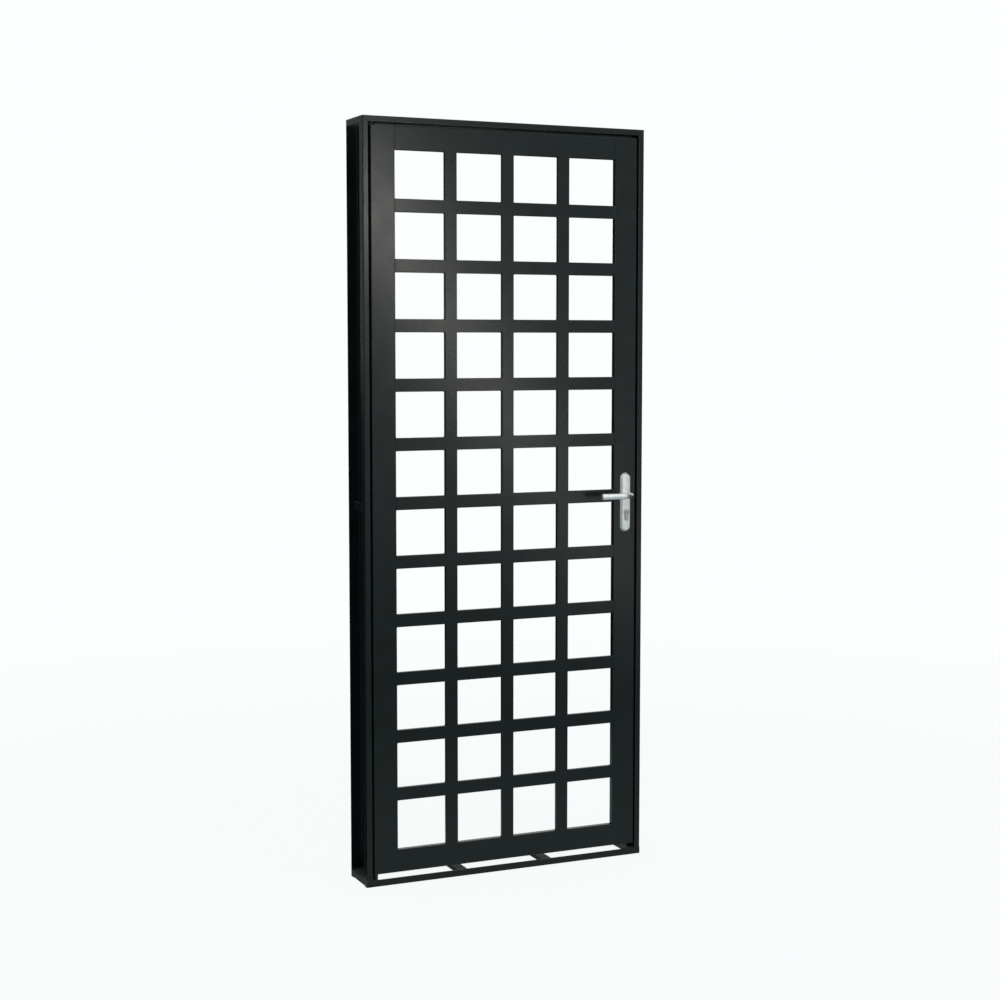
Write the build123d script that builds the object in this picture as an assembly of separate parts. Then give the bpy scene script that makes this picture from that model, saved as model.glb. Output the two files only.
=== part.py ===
from build123d import *
import math
import os

# Grille door: a steel frame of folded sheet that is built into a wall opening, and a leaf of flat
# steel tubes with a welded lattice of square openings, hung on two hidden pivots.
# Millimetres, +Z up. +X runs from the pivot side to the lock side and +Y from the front to the back.
# The origin is on the underside of the sill, in the middle of the front sill angle.

# Frame
frame_width = 870.0
frame_height = 2150.0
frame_depth = 134.0
sheet = 1.5
bend_radius = 1.0
face_width = 17.5
lip_depth = 25.0
rebate_depth = 24.0
reveal_inset = 33.0
cap_height = 18.0

# Sill, an open ladder of two angles and two ties
angle_leg = 20.0
angle_sheet = 2.0
tie_width = 30.0
tie_height = 12.0
tie_spacing = 270.0
foot_wall = 2.0

# Leaf
side_gap = 5.2
head_gap = 8.0
floor_gap = 36.0
leaf_depth = 18.0
tube_wall = 1.5
tube_corner = 2.0
stile_width = 71.0
rail_height = 64.3

# Lattice
bar_depth = 12.0
upright_width = 36.4
crossbar_height = 36.9
outer_cell = 148.2
top_cell = 132.6
bottom_cell = 141.4
cell_columns = 4
cell_rows = 12

# Pivots
pivot_inset = 6.5
pivot_depth = 5.0
pin_radius = 3.0
pin_clearance = 0.08
pin_reach = 12.0
collar_radius = 5.0
bush_height = 16.0
bush_radius = 4.0
end_play = 0.5

# Lock and handles
handle_height = 1087.0
backset = 33.0
lock_centres = 52.5
plate_width = 34.0
plate_length = 175.0
plate_thickness = 8.0
plate_edge = 2.0
plate_rise = 64.5
neck_radius = 8.0
neck_clearance = 0.08
neck_seat = 6.0
neck_length = 18.0
elbow_radius = 33.0
elbow_mitres = 3
grip_radius = 9.0
grip_length = 107.5
grip_tip_edge = 2.0
spindle_size = 8.0
spindle_hole = 8.0
cylinder_radius = 8.5
cylinder_tail = 10.0
cylinder_height = 33.0
cylinder_proud = 3.0
cylinder_clearance = 0.25
faceplate_width = 14.0
faceplate_length = 220.0
faceplate_thickness = 2.0
faceplate_drop = 18.0
case_depth = 48.0
case_length = 160.0
case_clearance = 0.25
latch_height = 18.0
latch_width = 9.0
bolt_height = 24.0
bolt_gap = 0.4
strike_width = 12.8
strike_length = 190.0
strike_sheet = 1.5
strike_margin = 8.0

# Wall anchors
anchor_height = 26.0
anchor_sheet = 3.0
anchor_start = 30.0
anchor_length = 55.0
anchor_hole = 4.5

# Places that follow from the sizes above
front = -angle_leg / 2
back = front + frame_depth
outer = frame_width / 2
leaf_half = outer - face_width - side_gap
leaf_top = frame_height - face_width - head_gap
leaf_bottom = floor_gap
leaf_back = front + leaf_depth
field_half = leaf_half - stile_width
field_top = leaf_top - rail_height
field_bottom = leaf_bottom + rail_height
jamb_foot = angle_leg
pivot_x = -leaf_half + pivot_inset
pivot_y = front + pivot_depth
handle_x = leaf_half - backset
cylinder_z = handle_height - lock_centres
faceplate_z = handle_height - lock_centres / 2 - faceplate_drop

os.makedirs("parts", exist_ok=True)


def block(x0, x1, y0, y1, z0, z1):
    """A box between two corners."""
    centre = ((x0 + x1) / 2, (y0 + y1) / 2, (z0 + z1) / 2)
    return Pos(*centre) * Box(x1 - x0, y1 - y0, z1 - z0)


def rod(x, z, y0, y1, radius):
    """A round bar along Y."""
    return Pos(x, (y0 + y1) / 2, z) * Rot(90, 0, 0) * Cylinder(radius, y1 - y0)


def post(x, y, z0, z1, radius):
    """A round bar along Z."""
    return Pos(x, y, (z0 + z1) / 2) * Cylinder(radius, z1 - z0)


def beside(path, distance):
    """The path moved to its left by a distance, with its corners mitred."""
    normals = []
    for (ax, ay), (bx, by) in zip(path, path[1:]):
        run = math.hypot(bx - ax, by - ay)
        normals.append((-(by - ay) / run, (bx - ax) / run))
    moved = []
    for index, (px, py) in enumerate(path):
        before = normals[max(index - 1, 0)]
        after = normals[min(index, len(normals) - 1)]
        share = 1 + before[0] * after[0] + before[1] * after[1]
        moved.append((px + distance * (before[0] + after[0]) / share,
                      py + distance * (before[1] + after[1]) / share))
    return moved


def turns(path):
    """The sign of the turn at each inner corner of a path, +1 to the left."""
    signs = []
    for (ax, ay), (bx, by), (cx, cy) in zip(path, path[1:], path[2:]):
        cross = (bx - ax) * (cy - by) - (by - ay) * (cx - bx)
        signs.append(math.copysign(1, cross))
    return signs


def folded(path, thickness, inner_radius):
    """The section of a sheet folded along a path, with the metal on the left of the path."""
    skin_radii = [inner_radius + (thickness if sign > 0 else 0) for sign in turns(path)]
    inner_radii = [inner_radius + (thickness if sign < 0 else 0) for sign in turns(path)]
    inner_path = beside(path, thickness)
    skin = FilletPolyline(*path, radius=skin_radii)
    inner = FilletPolyline(*inner_path, radius=inner_radii)
    ends = [Line(path[0], inner_path[0]), Line(path[-1], inner_path[-1])]
    return make_face(skin.edges() + inner.edges() + ends)


def frame_section():
    """The section of the frame: u runs inwards from the outer side, v back from the front."""
    path = [
        (0, lip_depth),
        (0, 0),
        (face_width, 0),
        (face_width, rebate_depth),
        (reveal_inset, rebate_depth),
        (reveal_inset, frame_depth),
        (0, frame_depth),
    ]
    return folded(path, sheet, bend_radius)


def above_mitre():
    """Everything above the mitre line of the top corner on the pivot side."""
    reach = 2 * reveal_inset
    edge = 1.0
    outline = Polyline(
        (-outer - edge, frame_height + edge),
        (-outer + reach, frame_height - reach),
        (-outer + reach, frame_height + edge),
        close=True,
    )
    side = Plane(origin=(0, back + edge, 0), x_dir=(1, 0, 0), z_dir=(0, -1, 0))
    return extrude(side * make_face(outline), amount=frame_depth + 2 * edge)


def plain_jamb():
    """The jamb on the pivot side, from the sill to the mitre."""
    place = Plane(origin=(-outer, front, jamb_foot), x_dir=(1, 0, 0), z_dir=(0, 0, 1))
    bar = extrude(place * frame_section(), amount=frame_height - jamb_foot)
    return bar - above_mitre()


def header():
    """The head of the frame, mitred at both ends."""
    place = Plane(origin=(-outer, front, frame_height), x_dir=(0, 0, -1), z_dir=(1, 0, 0))
    bar = extrude(place * frame_section(), amount=frame_width)
    corner = above_mitre()
    reach = 2 * reveal_inset
    left_end = block(-outer, -outer + reach, front, back, frame_height - reach, frame_height)
    below = left_end - corner
    return bar - below - mirror(below, Plane.YZ)


def strike_window():
    """The slot in the lock jamb's rebate, in front of the strike plate."""
    face = outer - face_width
    middle = front + leaf_depth / 2
    half_width = latch_width / 2 + bolt_gap
    half_length = strike_length / 2 - strike_margin
    return block(face - sheet, face + 2 * sheet, middle - half_width, middle + half_width,
                 faceplate_z - half_length, faceplate_z + half_length)


def strike_plate():
    """The strike behind the slot, with a hole for the latch and one for the bolt."""
    face = outer - face_width + sheet
    middle = front + leaf_depth / 2
    plate = block(face, face + strike_sheet, middle - strike_width / 2, middle + strike_width / 2,
                  faceplate_z - strike_length / 2, faceplate_z + strike_length / 2)
    for height, tall in ((handle_height, latch_height), (cylinder_z, bolt_height)):
        half = tall / 2 + 1
        plate -= block(face - 1, face + strike_sheet + 1, middle - latch_width / 2,
                       middle + latch_width / 2, height - half, height + half)
    return plate


def header_cap():
    """The plate that closes the end of the head on the pivot side."""
    return block(-outer, -outer + sheet, front + lip_depth, back - sheet,
                 frame_height - cap_height, frame_height)


def sill_angle():
    """The front sill angle, with its flat leg on the floor."""
    path = [(0, angle_leg), (0, 0), (angle_leg, 0)]
    place = Plane(origin=(-outer, front, 0), x_dir=(0, 1, 0), z_dir=(1, 0, 0))
    return extrude(place * folded(path, angle_sheet, bend_radius), amount=frame_width)


def sill_tube(middle, width, height, wall):
    """A flat tube from the front sill angle to the rear one, lying on their flat legs."""
    length = frame_depth - 2 * angle_sheet
    start = front + angle_sheet
    tube = block(middle - width / 2, middle + width / 2, start, start + length,
                 angle_sheet, angle_sheet + height)
    tube -= block(middle - width / 2 + wall, middle + width / 2 - wall, start, start + length,
                  angle_sheet + wall, angle_sheet + height - wall)
    return tube - front_angle - rear_angle


def wall_anchor():
    """A bent strap in the channel of the pivot jamb, with a hole for a wall fixing."""
    web = reveal_inset - sheet
    path = [
        (web, anchor_start),
        (0, anchor_start),
        (0, anchor_start + anchor_length),
        (web, anchor_start + anchor_length),
    ]
    middle = frame_height / 2
    place = Plane(origin=(-outer, front, middle - anchor_height / 2), x_dir=(1, 0, 0), z_dir=(0, 0, 1))
    strap = extrude(place * folded(path[::-1], anchor_sheet, bend_radius), amount=anchor_height)
    hole_y = front + anchor_start + anchor_length / 2
    hole = Pos(-outer, hole_y, middle) * Rot(0, 90, 0) * Cylinder(anchor_hole, 4 * anchor_sheet)
    return strap - hole


def rounded_tube(width, depth, length, wall):
    """A tube along Z with rounded corners, centred on its section."""
    ring = RectangleRounded(width, depth, tube_corner)
    ring -= RectangleRounded(width - 2 * wall, depth - 2 * wall, tube_corner / 2)
    return extrude(ring, amount=length)


def keyhole_profile(grow):
    """The outline of the lock cylinder: a circle over a narrower tail, grown by a clearance."""
    radius = cylinder_radius + grow
    tail = cylinder_height - cylinder_radius + grow
    width = cylinder_tail + 2 * grow
    drop = tail - width / 2
    shape = Circle(radius)
    shape += Pos(0, -drop / 2) * Rectangle(width, drop)
    shape += Pos(0, -drop) * Circle(width / 2)
    return shape


def through_leaf(shape, z, y0, y1):
    """A shape, drawn as seen from the front, carried through the leaf at the handle's place."""
    place = Plane(origin=(handle_x, y1, z), x_dir=(1, 0, 0), z_dir=(0, -1, 0))
    return extrude(place * shape, amount=y1 - y0)


def stile(side):
    """A stile of the leaf, a flat tube over its full height: side is -1 at the pivots, +1 at the lock."""
    middle = side * (leaf_half - stile_width / 2)
    tube = rounded_tube(stile_width, leaf_depth, leaf_top - leaf_bottom, tube_wall)
    return Pos(middle, front + leaf_depth / 2, leaf_bottom) * tube


def lock_stile():
    """The lock stile, with its holes for the spindle, cylinder and faceplate."""
    body = stile(+1)
    over = 2.0
    body -= rod(handle_x, handle_height, front - over, leaf_back + over, spindle_hole)
    body -= through_leaf(keyhole_profile(2 * cylinder_clearance), cylinder_z, front - over, leaf_back + over)
    middle = front + leaf_depth / 2
    body -= block(leaf_half - 2 * tube_wall, leaf_half + over, middle - faceplate_width / 2,
                  middle + faceplate_width / 2, faceplate_z - faceplate_length / 2,
                  faceplate_z + faceplate_length / 2)
    return body


def bush_hole(z0, z1):
    """The hole for a pivot bush in the pivot stile."""
    return post(pivot_x, pivot_y, z0, z1, bush_radius)


def pivot_stile():
    """The pivot stile, with a bush let into its walls at the top and the bottom."""
    body = stile(-1)
    body -= bush_hole(leaf_top - bush_height, leaf_top + 1)
    body -= bush_hole(leaf_bottom - 1, leaf_bottom + bush_height)
    return body


def pivot_bush(z0, z1):
    """A bush of the leaf, bored for its pin."""
    return post(pivot_x, pivot_y, z0, z1, bush_radius) - post(
        pivot_x, pivot_y, z0 - 1, z1 + 1, pin_radius + pin_clearance)


def rail(z0, height):
    """A rail of the leaf, a flat tube between the stiles."""
    tube = rounded_tube(height, leaf_depth, 2 * field_half, tube_wall)
    return Pos(-field_half, front + leaf_depth / 2, z0 + height / 2) * Rot(0, 90, 0) * tube


def upright_centres():
    """The X places of the lattice uprights."""
    inner_cell = (2 * field_half - 2 * outer_cell - (cell_columns - 1) * upright_width) / (cell_columns - 2)
    first = -field_half + outer_cell + upright_width / 2
    return [first + index * (inner_cell + upright_width) for index in range(cell_columns - 1)]


def crossbar_centres():
    """The heights of the lattice crossbars, from the top down: the inner rows share what is left."""
    first = field_top - top_cell - crossbar_height / 2
    last = field_bottom + bottom_cell + crossbar_height / 2
    pitch = (first - last) / (cell_rows - 2)
    return [first - index * pitch for index in range(cell_rows - 1)]


def lattice(inset):
    """The bars of the lattice, fused where they cross, each face moved inwards by an inset."""
    height = field_top - field_bottom
    width = 2 * field_half
    depth = bar_depth - 2 * inset
    middle = (field_top + field_bottom) / 2
    flat = Sketch()
    for x in upright_centres():
        flat += Pos(x, middle) * Rectangle(upright_width - 2 * inset, height - 2 * inset)
    for z in crossbar_centres():
        flat += Pos(0, z) * Rectangle(width - 2 * inset, crossbar_height - 2 * inset)
    place = Plane(origin=(0, front + inset, 0), x_dir=(1, 0, 0), z_dir=(0, -1, 0))
    return extrude(place * flat, amount=-depth)


def grille():
    """The welded lattice of hollow bars, flush with the front of the leaf."""
    return lattice(0) - lattice(tube_wall)


def back_plate(y0, y1, face_sign):
    """A handle plate with round ends: face_sign is -1 where its outer face looks to the front."""
    outline = SlotOverall(plate_length, plate_width, rotation=90)
    rise = plate_rise - plate_length / 2
    body = through_leaf(outline, handle_height + rise, y0, y1)
    face = body.faces().sort_by(Axis.Y)[0 if face_sign < 0 else -1]
    body = chamfer(face.edges(), plate_edge)
    body -= rod(handle_x, handle_height, y0 - 1, y1 + 1, neck_radius + neck_clearance)
    body -= through_leaf(keyhole_profile(cylinder_clearance), cylinder_z, y0 - 1, y1 + 1)
    return body


def neck(side):
    """The turned neck of a handle, from its seat in the plate: side is -1 at the front, +1 at the back."""
    face = front - plate_thickness if side < 0 else leaf_back + plate_thickness
    inner = face - side * neck_seat
    outer_end = face + side * neck_length
    return rod(handle_x, handle_height, min(inner, outer_end), max(inner, outer_end), neck_radius)


def grip(side):
    """The grip of a handle, which turns through a mitred elbow towards the middle of the leaf."""
    face = front - plate_thickness if side < 0 else leaf_back + plate_thickness
    start = face + side * neck_length
    turn = math.radians(90 / elbow_mitres)
    reach = elbow_radius / math.cos(turn / 2)
    route = [(handle_x, start, handle_height)]
    for index in range(elbow_mitres):
        angle = (index + 0.5) * turn
        corner_x = handle_x - elbow_radius + reach * math.cos(angle)
        route.append((corner_x, start + side * reach * math.sin(angle), handle_height))
    route.append((handle_x - grip_length, start + side * elbow_radius, handle_height))
    section = Plane(origin=route[0], x_dir=(1, 0, 0), z_dir=(0, side, 0)) * Circle(grip_radius)
    body = sweep(section, path=Polyline(*route), transition=Transition.RIGHT)
    tip = body.edges().filter_by(GeomType.CIRCLE).sort_by(Axis.X)[0]
    return chamfer(tip, grip_tip_edge)


def spindle():
    """The square spindle between the two necks."""
    y0 = front - plate_thickness + neck_seat
    y1 = leaf_back + plate_thickness - neck_seat
    half = spindle_size / 2
    return block(handle_x - half, handle_x + half, y0, y1, handle_height - half, handle_height + half)


def lock_case():
    """The lock case inside the stile, behind its faceplate."""
    middle = front + leaf_depth / 2
    half = leaf_depth / 2 - tube_wall - case_clearance
    face = leaf_half - faceplate_thickness
    body = block(face - case_depth, face, middle - half, middle + half,
                 faceplate_z - case_length / 2, faceplate_z + case_length / 2)
    body -= rod(handle_x, handle_height, front, leaf_back, spindle_hole)
    body -= through_leaf(keyhole_profile(cylinder_clearance), cylinder_z, front, leaf_back)
    return body


def lock_faceplate():
    """The faceplate on the edge of the leaf, with holes for the latch and the bolt."""
    middle = front + leaf_depth / 2
    face = leaf_half - faceplate_thickness
    plate = block(face, leaf_half, middle - faceplate_width / 2, middle + faceplate_width / 2,
                  faceplate_z - faceplate_length / 2, faceplate_z + faceplate_length / 2)
    for height, tall in ((handle_height, latch_height), (cylinder_z, bolt_height)):
        half = tall / 2 + bolt_gap
        half_width = latch_width / 2 + bolt_gap
        plate -= block(face - 1, leaf_half + 1, middle - half_width, middle + half_width,
                       height - half, height + half)
    return plate


def bolt_end(z, tall):
    """The end of a withdrawn bolt, level with the faceplate and seated on the case."""
    middle = front + leaf_depth / 2
    face = leaf_half - faceplate_thickness
    return block(face, leaf_half, middle - latch_width / 2, middle + latch_width / 2,
                 z - tall / 2, z + tall / 2)


def lock_cylinder():
    """The lock cylinder, through both plates and the leaf."""
    y0 = front - plate_thickness - cylinder_proud
    y1 = leaf_back + plate_thickness + cylinder_proud
    return through_leaf(keyhole_profile(0), cylinder_z, y0, y1)


def top_pivot():
    """The pin under the head, with the collar that welds it there."""
    seat = frame_height - face_width
    collar = post(pivot_x, pivot_y, leaf_top + end_play, seat, collar_radius)
    return collar + post(pivot_x, pivot_y, leaf_top - pin_reach, leaf_top + end_play, pin_radius)


def bottom_pivot():
    """The pin over the sill, with a collar that stands on the foot of the frame."""
    collar = post(pivot_x, pivot_y, jamb_foot, leaf_bottom - end_play, collar_radius)
    return collar + post(pivot_x, pivot_y, leaf_bottom - end_play, leaf_bottom + pin_reach, pin_radius)


jamb = plain_jamb()
foot_middle = outer - reveal_inset / 2
foot_height = angle_leg - angle_sheet
front_angle = sill_angle()
rear_angle = Pos(0, front + back, 0) * mirror(front_angle, Plane.XZ)
cap = header_cap()
anchor = wall_anchor()
foot = sill_tube(-foot_middle, reveal_inset, foot_height, foot_wall)

nodes = {
    "jamb_pivot_side": jamb,
    "jamb_lock_side": mirror(jamb, Plane.YZ) - strike_window(),
    "header": header(),
    "header_cap_left": cap,
    "header_cap_right": mirror(cap, Plane.YZ),
    "sill_angle_front": front_angle,
    "sill_angle_rear": rear_angle,
    "sill_foot_left": foot,
    "sill_foot_right": mirror(foot, Plane.YZ),
    "sill_tie_left": sill_tube(-tie_spacing / 2, tie_width, tie_height, tube_wall),
    "sill_tie_right": sill_tube(tie_spacing / 2, tie_width, tie_height, tube_wall),
    "wall_anchor_left": anchor,
    "wall_anchor_right": mirror(anchor, Plane.YZ),
    "strike_plate": strike_plate(),
    "pivot_pin_top": top_pivot(),
    "pivot_pin_bottom": bottom_pivot(),
    "stile_pivot_side": pivot_stile(),
    "stile_lock_side": lock_stile(),
    "rail_top": rail(field_top, rail_height),
    "rail_bottom": rail(leaf_bottom, rail_height),
    "grille": grille(),
    "pivot_bush_top": pivot_bush(leaf_top - bush_height, leaf_top),
    "pivot_bush_bottom": pivot_bush(leaf_bottom, leaf_bottom + bush_height),
    "lock_case": lock_case(),
    "lock_faceplate": lock_faceplate(),
    "latch_bolt": bolt_end(handle_height, latch_height),
    "dead_bolt": bolt_end(cylinder_z, bolt_height),
    "lock_cylinder": lock_cylinder(),
    "handle_plate_front": back_plate(front - plate_thickness, front, -1),
    "handle_plate_rear": back_plate(leaf_back, leaf_back + plate_thickness, +1),
    "lever_neck_front": neck(-1),
    "lever_neck_rear": neck(+1),
    "lever_grip_front": grip(-1),
    "lever_grip_rear": grip(+1),
    "spindle": spindle(),
}

for name, shape in nodes.items():
    export_step(shape, f"parts/{name}.step")
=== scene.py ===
"""The looks of a black steel grille door: a folded frame, a leaf of flat tubes and a welded lattice.

Everything is in metres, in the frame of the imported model: +X runs from the pivot side to the lock
side, +Y from the front to the back and +Z up, with the underside of the sill at zero.
"""

from __future__ import annotations

import logging
import math
from dataclasses import dataclass, field
from enum import Enum
from typing import Any

import bmesh
import bpy
import numpy as np
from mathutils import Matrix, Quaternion, Vector
from numpy.typing import NDArray

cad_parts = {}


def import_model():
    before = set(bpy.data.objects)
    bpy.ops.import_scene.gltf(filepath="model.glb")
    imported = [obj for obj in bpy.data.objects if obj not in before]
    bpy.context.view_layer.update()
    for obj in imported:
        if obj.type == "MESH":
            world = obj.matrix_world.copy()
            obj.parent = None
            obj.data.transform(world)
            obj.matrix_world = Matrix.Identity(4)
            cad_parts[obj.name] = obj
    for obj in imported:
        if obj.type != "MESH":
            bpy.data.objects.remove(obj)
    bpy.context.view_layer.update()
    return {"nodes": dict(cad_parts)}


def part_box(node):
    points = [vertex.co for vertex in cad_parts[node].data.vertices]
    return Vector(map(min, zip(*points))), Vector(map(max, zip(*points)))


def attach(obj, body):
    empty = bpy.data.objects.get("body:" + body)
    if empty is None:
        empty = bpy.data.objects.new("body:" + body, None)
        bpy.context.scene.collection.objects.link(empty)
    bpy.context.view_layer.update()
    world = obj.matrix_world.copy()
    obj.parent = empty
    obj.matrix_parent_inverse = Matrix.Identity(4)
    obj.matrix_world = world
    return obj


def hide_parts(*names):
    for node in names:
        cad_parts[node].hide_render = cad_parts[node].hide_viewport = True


Array = NDArray[np.float64]
Edges = tuple[tuple[str, float, float], ...]
Material = bpy.types.Material
Node = bpy.types.Node
Socket = bpy.types.NodeSocket
Tree = bpy.types.NodeTree

MM = 0.001
X_AXIS, Y_AXIS, Z_AXIS = np.eye(3)
MERGE_DISTANCE = 0.002 * MM
FLAT_DOT = 0.999
EDGE_DOT = 0.86
RIPPLE_PITCH = 2.6 * MM
RIPPLE_SWELL = 0.14
DRIFT_SWELL = 0.10
FADE_RIPPLES = 1.6
GROOVE_DEPTH = 1.4 * MM
log = logging.getLogger("grille_door")


class Body(Enum):
    """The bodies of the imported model."""

    FRAME = "frame"
    LEAF = "leaf"
    LEVER = "lever"


class Slot(Enum):
    """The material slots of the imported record."""

    PAINT = "black_paint"
    SATIN = "satin_metal"
    ZINC = "zinc_steel"
    CYLINDER = "cylinder_metal"


class Side(Enum):
    """The two faces of the leaf, with the sign of the way out along Y."""

    FRONT = -1
    REAR = 1


def linear(code: str) -> tuple[float, float, float, float]:
    """Turns an sRGB hex colour into a linear one.

    Args:
        code: The colour as #rrggbb.

    Returns:
        Red, green, blue and an alpha of one.
    """
    parts = np.array([int(code[place:place + 2], 16) for place in (1, 3, 5)]) / 255
    values = np.where(parts <= 0.04045, parts / 12.92, ((parts + 0.055) / 1.055) ** 2.4)
    return (float(values[0]), float(values[1]), float(values[2]), 1.0)


def add_node(tree: Tree, kind: str, settings: dict[str | int, Any] | None = None,
             links: dict[str | int, Node | Socket] | None = None) -> Node:
    """Adds a shader node to a tree.

    Args:
        tree: The node tree.
        kind: The node's type, without the prefix that all shader nodes share.
        settings: Values for the node's own properties, by name, or for its inputs, by name or number.
        links: What feeds the inputs, by name or number: a socket, or a node for its first output.

    Returns:
        The new node.
    """
    node = tree.nodes.new("ShaderNode" + kind)
    for name, value in (settings or {}).items():
        if isinstance(name, int) or name in node.inputs:
            node.inputs[name].default_value = value
        else:
            setattr(node, name, value)
    for name, source in (links or {}).items():
        socket = source.outputs[0] if isinstance(source, Node) else source
        tree.links.new(socket, node.inputs[name])
    return node


def new_material(name: str) -> tuple[Material, Tree]:
    """Makes an empty node material.

    Args:
        name: The material's name.

    Returns:
        The material and its cleared tree.
    """
    material = bpy.data.materials.new(name)
    material.use_nodes = True
    material.node_tree.nodes.clear()
    return material, material.node_tree


def layer_colours(tree: Tree, base: str, layers: list[tuple[Node, str]]) -> Socket:
    """Lays colours over a base colour.

    Args:
        tree: The node tree.
        base: The colour underneath.
        layers: Each layer's share and colour, from the lowest.

    Returns:
        The colour that results.
    """
    under: dict[str | int, Node | Socket] = {}
    for share, code in layers:
        mix = add_node(tree, "Mix", {"data_type": "RGBA", 6: linear(base), 7: linear(code)},
                       {0: share, **under})
        under = {6: mix.outputs[2]}
    return under[6]


@dataclass(frozen=True)
class Grain:
    """A noise pattern of a real size, with its stretch along each axis."""

    size: float
    detail: float = 2.0
    stretch: tuple[float, float, float] = (1.0, 1.0, 1.0)

    def add(self, tree: Tree, coordinates: Socket) -> Node:
        """Adds the noise to a tree.

        Args:
            tree: The material's tree.
            coordinates: Object coordinates, in metres.

        Returns:
            The noise, from 0 to 1 about a middle of 0.5.
        """
        scale = tuple(1 / (self.size * along) for along in self.stretch)
        mapping = add_node(tree, "Mapping", {"Scale": scale}, {"Vector": coordinates})
        return add_node(tree, "TexNoise", {"Scale": 1.0, "Detail": self.detail}, {"Vector": mapping})


def edge_mask(tree: Tree, radius: float) -> tuple[Node, Node]:
    """Finds the edges of a piece: where the normal, rounded over a radius, leaves the flat one.

    Args:
        tree: The material's tree.
        radius: How wide the rounding is, in metres.

    Returns:
        The rounded normal, and a mask that is 1 on an edge and 0 away from it.
    """
    bevel = add_node(tree, "Bevel", {"samples": 4, "Radius": radius})
    geometry = add_node(tree, "NewGeometry")
    dot = add_node(tree, "VectorMath", {"operation": "DOT_PRODUCT"},
                   {0: bevel, 1: geometry.outputs["Normal"]})
    mask = add_node(tree, "MapRange", {"From Min": FLAT_DOT, "From Max": EDGE_DOT},
                    {"Value": dot.outputs["Value"]})
    return bevel, mask


@dataclass(frozen=True)
class WorkedMetal:
    """A bare or plated metal whose surface keeps the direction in which it was worked.

    Long fine scratches spread the highlight across them, and handling leaves cloudy duller patches
    and bright edges.
    """

    name: str
    colour: str
    clouded: str
    worn: str
    roughness: tuple[float, float]
    fine: Grain
    depth: float
    dusty: str = ""
    cloud: Grain = Grain(size=16 * MM, detail=4.0)
    clouding: tuple[float, float] = (0.35, 0.70)
    wear: tuple[float, float, float, float] = (0.3, 0.6, 0.2, 0.8)
    settled: tuple[float, float, float, float] = (0.50, 0.75, 0.0, 0.30)
    held: tuple[float, float, float, float] = (0.4, 0.7, 0.0, 1.0)
    dulling: tuple[float, float] = (0.3, 0.7)
    edge_radius: float = 0.6 * MM
    metallic: float = 1.0
    specular: float = 0.5

    def relief(self) -> tuple[tuple[Grain, float], ...]:
        """Gives the patterns that stand out of the surface, each with its depth."""
        return ((self.fine, self.depth),)

    def build(self) -> Material:
        """Builds the material."""
        material, tree = new_material(self.name)
        coordinates = add_node(tree, "TexCoord").outputs["Object"]
        cloud = self.cloud.add(tree, coordinates)
        fine = self.fine.add(tree, coordinates)
        normal, edge = edge_mask(tree, self.edge_radius)
        patches, settled, held, wear, rough = (
            add_node(tree, "MapRange",
                     {"From Min": start, "From Max": end, "To Min": least, "To Max": most},
                     {"Value": source})
            for source, (start, end, least, most) in (
                (cloud, (*self.clouding, 0.0, 1.0)), (cloud, self.settled), (fine, self.held),
                (fine, self.wear), (cloud, (*self.dulling, *self.roughness))))
        dust = add_node(tree, "Math", {"operation": "MULTIPLY"}, {0: settled, 1: held})
        rub = add_node(tree, "Math", {"operation": "MULTIPLY"}, {0: edge, 1: wear})
        layers = [(patches, self.clouded), (dust, self.dusty), (rub, self.worn)]
        colour = layer_colours(tree, self.colour, [layer for layer in layers if layer[1]])
        for grain, depth in self.relief():
            normal = add_node(tree, "Bump", {"Strength": 1.0, "Distance": depth},
                              {"Height": grain.add(tree, coordinates), "Normal": normal})
        shader = add_node(tree, "BsdfPrincipled",
                          {"Metallic": self.metallic, "Specular IOR Level": self.specular},
                          {"Base Color": colour, "Roughness": rough, "Normal": normal})
        add_node(tree, "OutputMaterial", None, {"Surface": shader})
        return material


@dataclass(frozen=True)
class SatinEnamel(WorkedMetal):
    """Black satin enamel, sprayed on folded and welded sheet steel.

    The spray leaves a fine orange peel that breaks up the highlight, the sheet under it is a little
    wavy, and the film is thin and rubbed on the edges.
    """

    name: str = "satin_black_enamel_sprayed"
    colour: str = "#0d1213"
    clouded: str = "#101617"
    worn: str = "#2c302f"
    roughness: tuple[float, float] = (0.18, 0.21)
    fine: Grain = Grain(size=9 * MM, detail=5.0)
    depth: float = 0.004 * MM
    dusty: str = "#161b1b"
    cloud: Grain = Grain(size=70 * MM, detail=4.0)
    clouding: tuple[float, float] = (0.35, 0.65)
    wear: tuple[float, float, float, float] = (0.42, 0.62, 0.10, 0.75)
    edge_radius: float = 1.1 * MM
    metallic: float = 0.0
    specular: float = 0.25
    peel: Grain = Grain(size=2.4 * MM, detail=1.0)
    wave: Grain = Grain(size=160 * MM, detail=1.0)
    wave_depth: float = 0.05 * MM

    def relief(self) -> tuple[tuple[Grain, float], ...]:
        """Gives the sheet's waves and the orange peel over them, each with its depth."""
        return ((self.wave, self.wave_depth), (self.peel, self.depth))


def trodden_enamel() -> SatinEnamel:
    """The same enamel on the sill, scuffed dull by shoes and holding dust."""
    return SatinEnamel(name="satin_black_enamel_trodden", colour="#131819", clouded="#171d1e",
                       dusty="#2c302f", roughness=(0.50, 0.66), specular=0.12)


def painted_light_enamel() -> SatinEnamel:
    """The enamel on the frame's end caps and sill feet: a greyer copy, whose grey is painted light for their
    lit end faces, and duller.
    """
    # These greys are painted light: they stand in for the light on the lit end faces of the caps and feet.
    return SatinEnamel(name="satin_black_enamel_painted_light", colour="#2e3334", clouded="#343939",
                       dusty="#3e4343", roughness=(0.40, 0.55), specular=0.20)


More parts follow.
